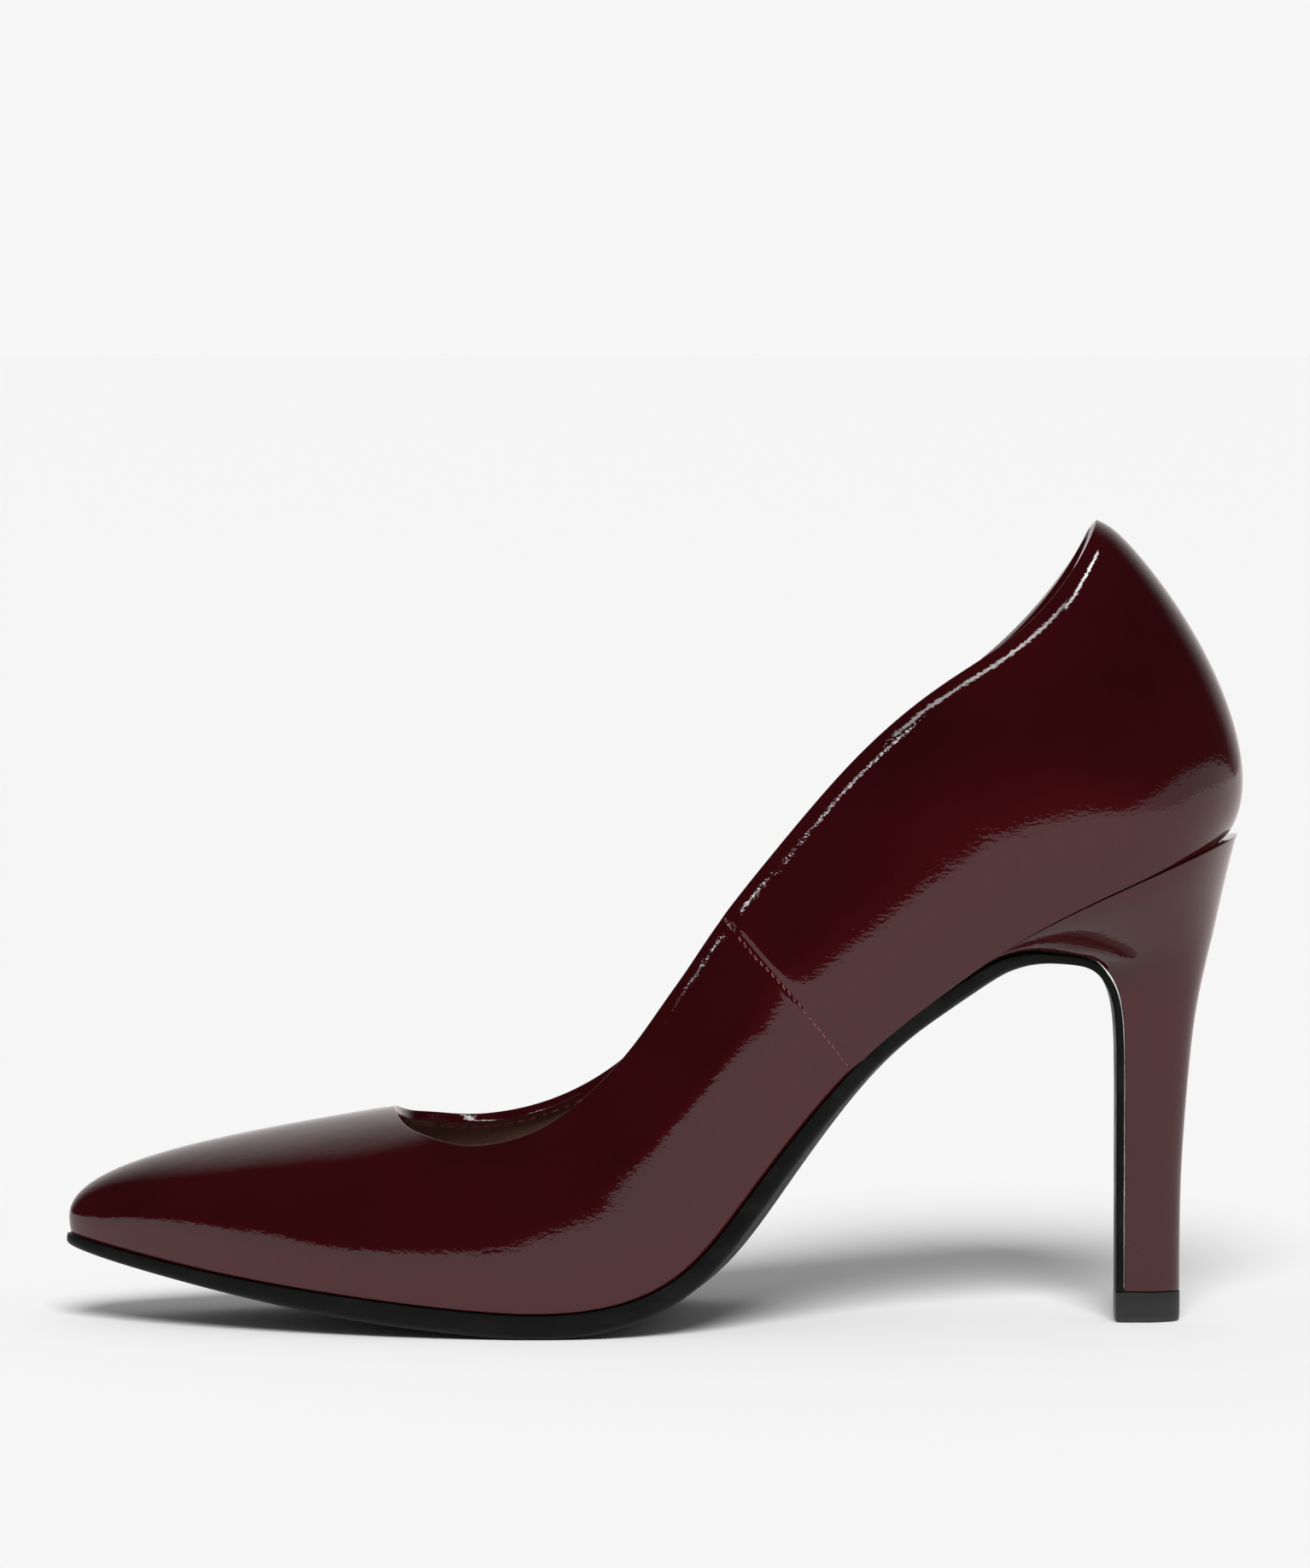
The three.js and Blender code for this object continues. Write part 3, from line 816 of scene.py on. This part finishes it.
@dataclass
class Upper:
    """The shell of patent and lining, with its folded topline and its one side seam."""

    seed_back: float = 8 * MM
    seed_height: float = 0.65
    skin_angle: float = 55.0
    fold_width: float = 2.3 * MM
    fold_step: float = 0.3 * MM
    fold_height: float = 0.32 * MM
    fold_stitch: float = 0.32
    seam_facing: float = -0.3
    seam_quad: float = 1.5 * MM
    seam_area: float = 2 * MM * MM
    seam_rise: float = 0.42
    seam_drop: float = 0.4
    groove_width: float = 0.55 * MM
    groove_depth: float = 0.28 * MM
    thread_away: float = 0.9 * MM
    crease_angle: float = 48.0
    levels: int = 2
    rim_round: float = 0.5 * MM
    rim_steps: int = 3
    shade_angle: float = 50.0
    roll_reach: float = 6.0 * MM
    roll_depth: float = 1.4 * MM
    roll_rings: tuple[float, ...] = (0.3, 0.65)
    roll_at: tuple[float, float] = (-0.040, 0.030)
    roll_least: float = 0.12
    board_reach: float = 8 * MM
    ring_reach: float = 1.5
    crease_free: float = 12 * MM
    crease_start: float = 0.25
    crease_facing: float = -0.2
    patent: Patent = field(default_factory=lambda: Patent("patent_upper"))
    fold_patent: Patent = field(
        default_factory=lambda: Patent("patent_fold", crinkle_height=0.014 * MM)
    )
    lining: Lining = field(default_factory=lambda: Lining("lining_leather"))
    thread: Thread = field(default_factory=lambda: Thread("seam_thread"))
    fold_stitches: Stitching = field(default_factory=lambda: Stitching("topline_stitches"))
    seam_stitches: Stitching = field(
        default_factory=lambda: Stitching(
            "seam_stitches", length=1.2 * MM, gap=0.35 * MM, width=0.5 * MM, slant=-16, sunk=0.0
        )
    )
    creases: tuple[Crease, ...] = (
        Crease((0.036, 0.0555), (0.040, 0.0525), 1.1 * MM, 0.35 * MM),
        Crease((0.028, 0.060), (0.066, 0.088), 20 * MM, 1.1 * MM),
        Crease((-0.019, 0.037), (0.016, 0.066), 23 * MM, 2.0 * MM),
    )

    def build(self) -> list[bpy.types.Object]:
        """Builds the shell and its two rows of stitches and returns them."""
        shell = Bench.copy_of("upper", "upper_shell")
        self._mark_skins(shell)
        seam = self._seam_path(shell)
        rim = self._rim(shell)
        self._roll(shell, rim)
        fold = self._fold_topline(shell, set(rim))
        Bench.crease_sharp(shell, self.crease_angle)
        Bench.smooth(shell, self.levels)
        seam = self._onto(shell, seam)
        self._press(shell, seam, [point for point, _ in fold])
        Bench.round_edges(shell, self.rim_round, self.rim_steps, self.shade_angle)
        Bench.shade(shell, self.shade_angle)
        aside = Vector((-self.thread_away, 0.0, 0.0))
        sewn = [(point + aside, normal) for point, normal in seam]
        fold_row = self.fold_stitches.build(self._onto(shell, fold), True)
        seam_row = self.seam_stitches.build(self._onto(shell, sewn), False)
        thread = self.thread.build()
        Bench.finish(
            shell,
            [self.patent.build(), self.fold_patent.build(), self.lining.build()],
            Slot.PATENT,
            ["upper"],
        )
        Bench.finish(fold_row, [thread], Slot.PATENT)
        Bench.finish(seam_row, [thread], Slot.PATENT)
        return [shell, fold_row, seam_row]

    def _mark_skins(self, shell: bpy.types.Object) -> None:
        """Gives the lining's side of the wall its own material place."""
        low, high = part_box("upper")
        level = low.z + self.seed_height * (high.z - low.z)
        seed = Vector((high.x - self.seed_back, 0.0, level))
        inside = Bench.flat_from(shell, seed, Vector((-1, 0, 0)), self.skin_angle)
        for face in shell.data.polygons:
            face.material_index = (Skin.LINING if face.index in inside else Skin.OUTSIDE).value
        log.info("lining side: %d of %d faces", len(inside), len(shell.data.polygons))

    def _rim(self, shell: bpy.types.Object) -> dict[int, int]:
        """Finds the topline's edges.

        Args:
            shell: The shell.

        Returns:
            The inner edge's vertices, each with its neighbour on the outer edge.
        """
        inner = set()
        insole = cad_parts["insole"]
        for key, places in self._edge_sides(shell).items():
            if set(places) != {Skin.LINING.value, Skin.OUTSIDE.value}:
                continue
            for index in key:
                point = shell.data.vertices[index].co
                _, near, _, _ = insole.closest_point_on_mesh(point)
                if (near - point).length > self.board_reach:
                    inner.add(index)
        lining = self._skin_vertices(shell, Skin.LINING)
        pairs = {}
        for edge in shell.data.edges:
            first, second = edge.vertices
            if first in inner and second not in lining:
                pairs[first] = second
            elif second in inner and first not in lining:
                pairs[second] = first
        log.info("topline: %d places", len(pairs))
        return pairs

    @staticmethod
    def _skin_vertices(shell: bpy.types.Object, skin: Skin) -> set[int]:
        """Vertices of the faces with one material place."""
        return {
            index
            for face in shell.data.polygons
            if face.material_index == skin.value
            for index in face.vertices
        }

    @staticmethod
    def _edge_sides(shell: bpy.types.Object) -> dict[tuple[int, int], list[int]]:
        """Material places of the faces on each side of each edge."""
        sides: dict[tuple[int, int], list[int]] = {}
        for face in shell.data.polygons:
            for key in face.edge_keys:
                sides.setdefault(key, []).append(face.material_index)
        return sides

    def _ring_below(
        self, shell: bpy.types.Object, ring: set[int], barred: set[int], reach: float
    ) -> dict[int, int]:
        """Cuts a new ring of vertices at a distance from a ring.

        Args:
            shell: The shell.
            ring: Vertices of the ring above.
            barred: Vertices on the ring's other side.
            reach: The distance.

        Returns:
            The new ring's vertices, each with its neighbour above.
        """
        Bench.none_picked(shell, "EDGE")
        for edge in shell.data.edges:
            first, second = edge.vertices
            crosses = (first in ring) != (second in ring)
            edge.select = crosses and first not in barred and second not in barred
        before = len(shell.data.vertices)
        bpy.ops.object.mode_set(mode="EDIT")
        bpy.ops.mesh.subdivide(number_cuts=1, quadcorner="INNERVERT")
        bpy.ops.object.mode_set(mode="OBJECT")
        fresh = {}
        for edge in shell.data.edges:
            low, high = sorted(edge.vertices)
            if low in ring and high >= before:
                fresh[high] = low
        for index, above in fresh.items():
            top = shell.data.vertices[above].co
            vertex = shell.data.vertices[index]
            half = vertex.co - top
            vertex.co = top + half.normalized() * min(reach, self.ring_reach * half.length)
        return fresh

    def _roll(self, shell: bpy.types.Object, rim: dict[int, int]) -> None:
        """Rolls the collar's edge inwards, as leather does that is folded over a tape.

        Args:
            shell: The shell.
            rim: The topline's inner vertices with their outer neighbours.
        """
        inward = {}
        for inner, outer in rim.items():
            across = shell.data.vertices[inner].co - shell.data.vertices[outer].co
            inward[inner] = inward[outer] = across.normalized()
        ring, barred, depth = set(rim.values()), set(rim), 0.0
        moves = {index: self.roll_depth for index in inward}
        for share in self.roll_rings:
            below = self._ring_below(shell, ring, barred, (share - depth) * self.roll_reach)
            for index, above in below.items():
                inward[index] = inward[above]
                moves[index] = self.roll_depth * (1 - share) ** 2
            barred, ring, depth = ring, set(below), share
        front, back = self.roll_at
        for index, move in moves.items():
            vertex = shell.data.vertices[index]
            share = eased((vertex.co.x - front) / (back - front))
            vertex.co += inward[index] * move * (self.roll_least + (1 - self.roll_least) * share)

    def _fold_topline(self, shell: bpy.types.Object, rim: set[int]) -> Path:
        """Models the patent's edge, folded over and sewn down inside the topline.

        Args:
            shell: The shell.
            rim: The topline's inner vertices.

        Returns:
            Points and normals along the stitch line.
        """
        outer = self._skin_vertices(shell, Skin.OUTSIDE) - self._skin_vertices(shell, Skin.LINING)
        edge = self._ring_below(shell, rim, outer, self.fold_width)
        self._ring_below(shell, set(edge), rim, self.fold_step)
        normals = {index: shell.data.vertices[index].normal.copy() for index in edge}
        for index in edge:
            shell.data.vertices[index].co += normals[index] * self.fold_height
        inside = rim | set(edge)
        for face in shell.data.polygons:
            if face.material_index == Skin.LINING.value and inside.issuperset(face.vertices):
                face.material_index = Skin.FOLD.value
        line = []
        for index in self._in_order(shell, set(edge)):
            point = shell.data.vertices[index].co
            top = shell.data.vertices[edge[index]].co
            line.append((point.lerp(top, self.fold_stitch), normals[index]))
        return line

    @staticmethod
    def _in_order(shell: bpy.types.Object, ring: set[int]) -> list[int]:
        """A ring's vertices, one after the other."""
        joined: dict[int, list[int]] = {index: [] for index in ring}
        for edge in shell.data.edges:
            first, second = edge.vertices
            if first in ring and second in ring:
                joined[first].append(second)
                joined[second].append(first)
        start = min(ring)
        order = [start]
        previous = None
        here = start
        while True:
            following = [index for index in joined[here] if index != previous and index != start]
            following = [index for index in following if index not in order[-3:]]
            if not following:
                break
            previous, here = here, following[0]
            order.append(here)
            if len(order) > len(ring):
                break
        return order

    def _seam_path(self, shell: bpy.types.Object) -> Path:
        """The side seam, from the topline down to the sole, read from its narrow faces."""
        spots = []
        for face in shell.data.polygons:
            if face.material_index != Skin.OUTSIDE.value or face.center.y > 0:
                continue
            if face.normal.y > self.seam_facing:
                continue
            corners = [shell.data.vertices[v].co for v in face.vertices]
            sides = sorted((a - b).length for a, b in zip(corners, corners[1:] + corners[:1]))
            if sides[1] < self.seam_quad and face.area > self.seam_area:
                spots.append((face.center.copy(), face.normal.copy()))
        spots.sort(key=lambda spot: -spot[0].z)
        if not spots:
            log.info("no seam found")
            return []
        log.info("seam: %d faces from z %.4f to %.4f", len(spots), spots[0][0].z, spots[-1][0].z)
        top, under_top, above_end, end = (spots[place] for place in (0, 1, -2, -1))
        first = (top[0] + (top[0] - under_top[0]) * self.seam_rise, top[1])
        last = (end[0] + (end[0] - above_end[0]) * self.seam_drop, end[1])
        return [first, *spots, last]

    def _press(
        self, shell: bpy.types.Object, seam: Path, topline: Sequence[Vector]
    ) -> None:
        """Presses the seam's groove and the creases into the outside.

        Args:
            shell: The shell.
            seam: Points and normals along the seam.
            topline: Points near the topline, where the creases die away.
        """
        points = [spot[0] for spot in seam]
        edge = KDTree(len(topline))
        for place, point in enumerate(topline):
            edge.insert(point, place)
        edge.balance()
        normals = [vertex.normal.copy() for vertex in shell.data.vertices]
        for index in self._skin_vertices(shell, Skin.OUTSIDE):
            vertex = shell.data.vertices[index]
            if vertex.co.y > 0 or normals[index].y > self.crease_facing:
                continue
            free = eased(edge.find(vertex.co)[2] / self.crease_free - self.crease_start)
            lift = sum(crease.lift(vertex.co) for crease in self.creases) * free
            if points:
                away = self._distance(vertex.co, points) / self.groove_width
                if away < 1:
                    lift -= self.groove_depth * (0.5 + 0.5 * math.cos(math.pi * away))
            vertex.co += normals[index] * lift

    @staticmethod
    def _distance(point: Vector, line: Sequence[Vector]) -> float:
        """Distance from a point to a line of points."""
        best = 1.0
        for first, second in zip(line, line[1:]):
            step = second - first
            share = max(0.0, min(1.0, (point - first).dot(step) / step.length_squared))
            best = min(best, (point - first - step * share).length)
        return best

    @staticmethod
    def _onto(shell: bpy.types.Object, path: Path) -> Path:
        """Lays a path onto the finished shell."""
        laid = []
        for point, _ in path:
            found, near, normal, _ = shell.closest_point_on_mesh(point)
            if found:
                laid.append((near.copy(), normal.copy()))
        return laid


@dataclass(frozen=True)
class Block:
    """How a plain solid is dressed: creased, smoothed, rounded and shaded."""

    node: str
    name: str
    slot: Slot
    crease_angle: float = 50.0
    levels: int = 2
    rounding: float = 0.0
    round_steps: int = 2
    round_angle: float = 50.0
    shade_angle: float = 50.0

    def build(self, material: bpy.types.Material) -> bpy.types.Object:
        """Builds the piece that stands for the solid, in one material, and returns it."""
        piece = Bench.copy_of(self.node, self.name)
        Bench.crease_sharp(piece, self.crease_angle)
        Bench.smooth(piece, self.levels)
        if self.rounding:
            Bench.round_edges(piece, self.rounding, self.round_steps, self.round_angle)
        Bench.shade(piece, self.shade_angle)
        Bench.finish(piece, [material], self.slot, [self.node])
        return piece


@dataclass
class Insole:
    """The board with its sock."""

    sock: Block = Block("insole", "insole_sock", Slot.SOCK, crease_angle=60.0)
    leather: Lining = field(
        default_factory=lambda: Lining(
            "sock_leather", pale=(0.22, 0.125, 0.092), dark=(0.15, 0.082, 0.060)
        )
    )

    def build(self) -> list[bpy.types.Object]:
        """Builds the sock and returns it."""
        return [self.sock.build(self.leather.build())]


@dataclass
class Outsole:
    """The black sole with its flap down the heel breast."""

    sole: Block = Block("outsole", "outsole_unit", Slot.SOLE, rounding=0.25 * MM)
    satin: SatinSole = field(default_factory=lambda: SatinSole("sole_satin"))

    def build(self) -> list[bpy.types.Object]:
        """Builds the sole and returns it."""
        return [self.sole.build(self.satin.build())]


@dataclass
class Heel:
    """The covered heel block and its tip."""

    block: Block = Block(
        "heel", "heel_cover", Slot.PATENT, crease_angle=40.0, rounding=0.4 * MM, round_angle=45.0
    )
    tip: Block = Block(
        "top_piece",
        "heel_tip",
        Slot.TIP,
        crease_angle=40.0,
        levels=1,
        rounding=0.2 * MM,
        round_angle=45.0,
    )
    patent: Patent = field(
        default_factory=lambda: Patent("patent_heel", crinkle_height=0.030 * MM, gloss=0.05)
    )
    rubber: TipRubber = field(default_factory=lambda: TipRubber("tip_rubber"))

    def build(self) -> list[bpy.types.Object]:
        """Builds the heel and the tip and returns them."""
        return [self.block.build(self.patent.build()), self.tip.build(self.rubber.build())]


@dataclass(frozen=True)
class Panel:
    """A small focused light that only shows as a reflection."""

    name: str
    place: Triple
    toward: Triple
    along: Triple
    size: tuple[float, float]
    radiance: float
    spread: float

    def build(self) -> None:
        """Builds the light. Its energy allows for the focus, which makes it brighter ahead."""
        data = bpy.data.lights.new(self.name, "AREA")
        data.shape = "RECTANGLE"
        data.size, data.size_y = self.size
        data.spread = math.radians(self.spread)
        half = data.spread / 2
        focus = math.tan(half) / (math.tan(half) - half)
        data.energy = self.radiance / focus * math.pi * self.size[0] * self.size[1]
        light = bpy.data.objects.new(self.name, data)
        bpy.context.scene.collection.objects.link(light)
        light.location = self.place
        back = (Vector(self.place) - Vector(self.toward)).normalized()
        side = back.cross(Vector(self.along)).normalized()
        light.rotation_euler = Matrix((side.cross(back), side, back)).transposed().to_euler()
        light.visible_camera = False
        light.visible_diffuse = False


@dataclass(frozen=True)
class Surroundings:
    """Pale behind the shoe, dark on the camera's side, as in a studio with its sweep lit."""

    pale: float = 0.93
    dark: float = 0.006
    fill: float = 0.35
    behind_slope: float = 0.30
    behind_span: tuple[float, float] = (0.58, 1.05)
    beside_slope: float = 0.55
    beside_span: tuple[float, float] = (-0.37, -0.42)
    beside_share: float = 0.6

    def build(self) -> None:
        """Builds the world: pale to the camera, an even fill, and its own look in mirrors."""
        world = bpy.data.worlds.new("surroundings")
        bpy.context.scene.world = world
        world.use_nodes = True
        nodes = Nodes(world.node_tree)
        nodes.tree.nodes.clear()
        mirrored = self._light(nodes, self._mirrored(nodes))
        seen = self._choice(nodes, "Is Glossy Ray", self._light(nodes, self.fill), mirrored)
        final = self._choice(nodes, "Is Camera Ray", seen, self._light(nodes, self.pale))
        nodes.node("ShaderNodeOutputWorld", inputs={"Surface": final})

    def _mirrored(self, nodes: Nodes) -> Value:
        """The brightness that glossy surfaces mirror, by direction."""
        direction = nodes.add("ShaderNodeTexCoord", output="Generated")
        x, y, z = (nodes.split(direction, axis) for axis in "XYZ")
        behind = (z * self.behind_slope + y).above(*self.behind_span)
        beside = (z - x * self.beside_slope).above(*self.beside_span)
        return behind.or_more(beside * self.beside_share) * self.pale + self.dark

    @staticmethod
    def _light(nodes: Nodes, strength: Value | float) -> Value:
        """Even white light of a strength."""
        inputs = {"Color": WHITE, "Strength": strength}
        return nodes.add("ShaderNodeBackground", inputs=inputs)

    @staticmethod
    def _choice(nodes: Nodes, ray: str, others: Value, chosen: Value) -> Value:
        """One light for the rays of a kind and another for the others."""
        share = nodes.add("ShaderNodeLightPath", output=ray)
        return nodes.add("ShaderNodeMixShader", inputs={0: share, 1: others, 2: chosen})


@dataclass
class Studio:
    """A pale floor, soft light and the camera at the photograph's angle."""

    aim: Triple = (0.0, -0.0015, 0.1034)
    distance: float = 1.7
    elevation: float = 3.0
    photo_height: int = 1836
    scale: float = 0.164 * MM
    sensor: float = 36.0
    clip: tuple[float, float] = (0.05, 50.0)
    floor_front: float = 0.60
    floor_side: float = 25.0
    floor_back: float = 50.0
    paper: Paper = field(default_factory=Paper)
    key: float = 3.66
    key_angle: float = 24.0
    key_from: Triple = (0.03, -0.76, 0.64)
    surroundings: Surroundings = field(default_factory=Surroundings)
    panels: tuple[Panel, ...] = (
        Panel(
            "peak_strip",
            place=(0.150, -0.085, 0.400),
            toward=(0.081, -0.018, 0.142),
            along=(-0.48, -0.87, -0.05),
            size=(0.20, 0.022),
            radiance=24.0,
            spread=70.0,
        ),
        Panel(
            "collar_strip",
            place=(-0.010, -0.176, 0.347),
            toward=(0.066, -0.024, 0.128),
            along=(-0.87, -0.21, -0.44),
            size=(0.23, 0.028),
            radiance=13.0,
            spread=60.0,
        ),
        Panel(
            "specks",
            place=(-0.098, -0.222, 0.258),
            toward=(0.036, -0.0255, 0.103),
            along=(0.78, -0.18, 0.60),
            size=(0.050, 0.006),
            radiance=26.0,
            spread=14.0,
        ),
        Panel(
            "seam_spot",
            place=(-0.136, -0.216, 0.220),
            toward=(0.0185, -0.027, 0.083),
            along=(0.78, -0.18, 0.60),
            size=(0.022, 0.012),
            radiance=22.0,
            spread=8.0,
        ),
        Panel(
            "throat_strip",
            place=(-0.020, -0.105, 0.310),
            toward=(-0.012, 0.030, 0.050),
            along=(1.0, 0.0, 0.0),
            size=(0.05, 0.04),
            radiance=120.0,
            spread=16.0,
        ),
    )

    def build(self) -> None:
        """Builds the camera, the floor, the surroundings and the lights."""
        self._camera()
        self._floor()
        self.surroundings.build()
        self._lights()
        bpy.context.scene.view_settings.view_transform = "Standard"

    def _camera(self) -> None:
        """The camera, level with the shoe and a little above it."""
        data = bpy.data.cameras.new("camera")
        data.sensor_width = self.sensor
        data.lens = self.sensor * self.distance / (self.photo_height * self.scale)
        data.clip_start, data.clip_end = self.clip
        camera = bpy.data.objects.new("camera", data)
        bpy.context.scene.collection.objects.link(camera)
        angle = math.radians(self.elevation)
        back = Vector((0.0, -math.cos(angle), math.sin(angle)))
        camera.location = Vector(self.aim) + back * self.distance
        camera.rotation_euler = (-back).to_track_quat("-Z", "Y").to_euler()
        bpy.context.scene.camera = camera

    def _floor(self) -> None:
        """The floor, which ends in front of the shoe where the dark of the room starts."""
        bpy.ops.object.select_all(action="DESELECT")
        bpy.ops.mesh.primitive_plane_add(size=1.0)
        floor = bpy.context.object
        floor.name = "studio_floor"
        bpy.ops.transform.resize(
            value=(2 * self.floor_side, self.floor_front + self.floor_back, 1.0),
            center_override=(0.0, 0.0, 0.0),
        )
        middle = (self.floor_back - self.floor_front) / 2
        bpy.ops.transform.translate(value=(0.0, middle, 0.0))
        bpy.ops.object.transform_apply(location=True, rotation=True, scale=True)
        floor.data.materials.append(self.paper.build())

    def _lights(self) -> None:
        """A broad soft key from the front, high enough for a short shadow, and the panels."""
        data = bpy.data.lights.new("key", "SUN")
        data.energy = self.key
        data.angle = math.radians(self.key_angle)
        light = bpy.data.objects.new("key", data)
        bpy.context.scene.collection.objects.link(light)
        light.location = Vector(self.key_from)
        light.rotation_euler = Vector(self.key_from).to_track_quat("Z", "Y").to_euler()
        light.visible_glossy = False
        for panel in self.panels:
            panel.build()


def main() -> None:
    """Builds the shoe and its studio."""
    logging.basicConfig(level=logging.INFO, format="%(name)s: %(message)s")
    for assembly in (Upper(), Insole(), Outsole(), Heel()):
        for piece in assembly.build():
            log.info("built %s", piece.name)
    Studio().build()


if __name__ == "__main__":
    main()
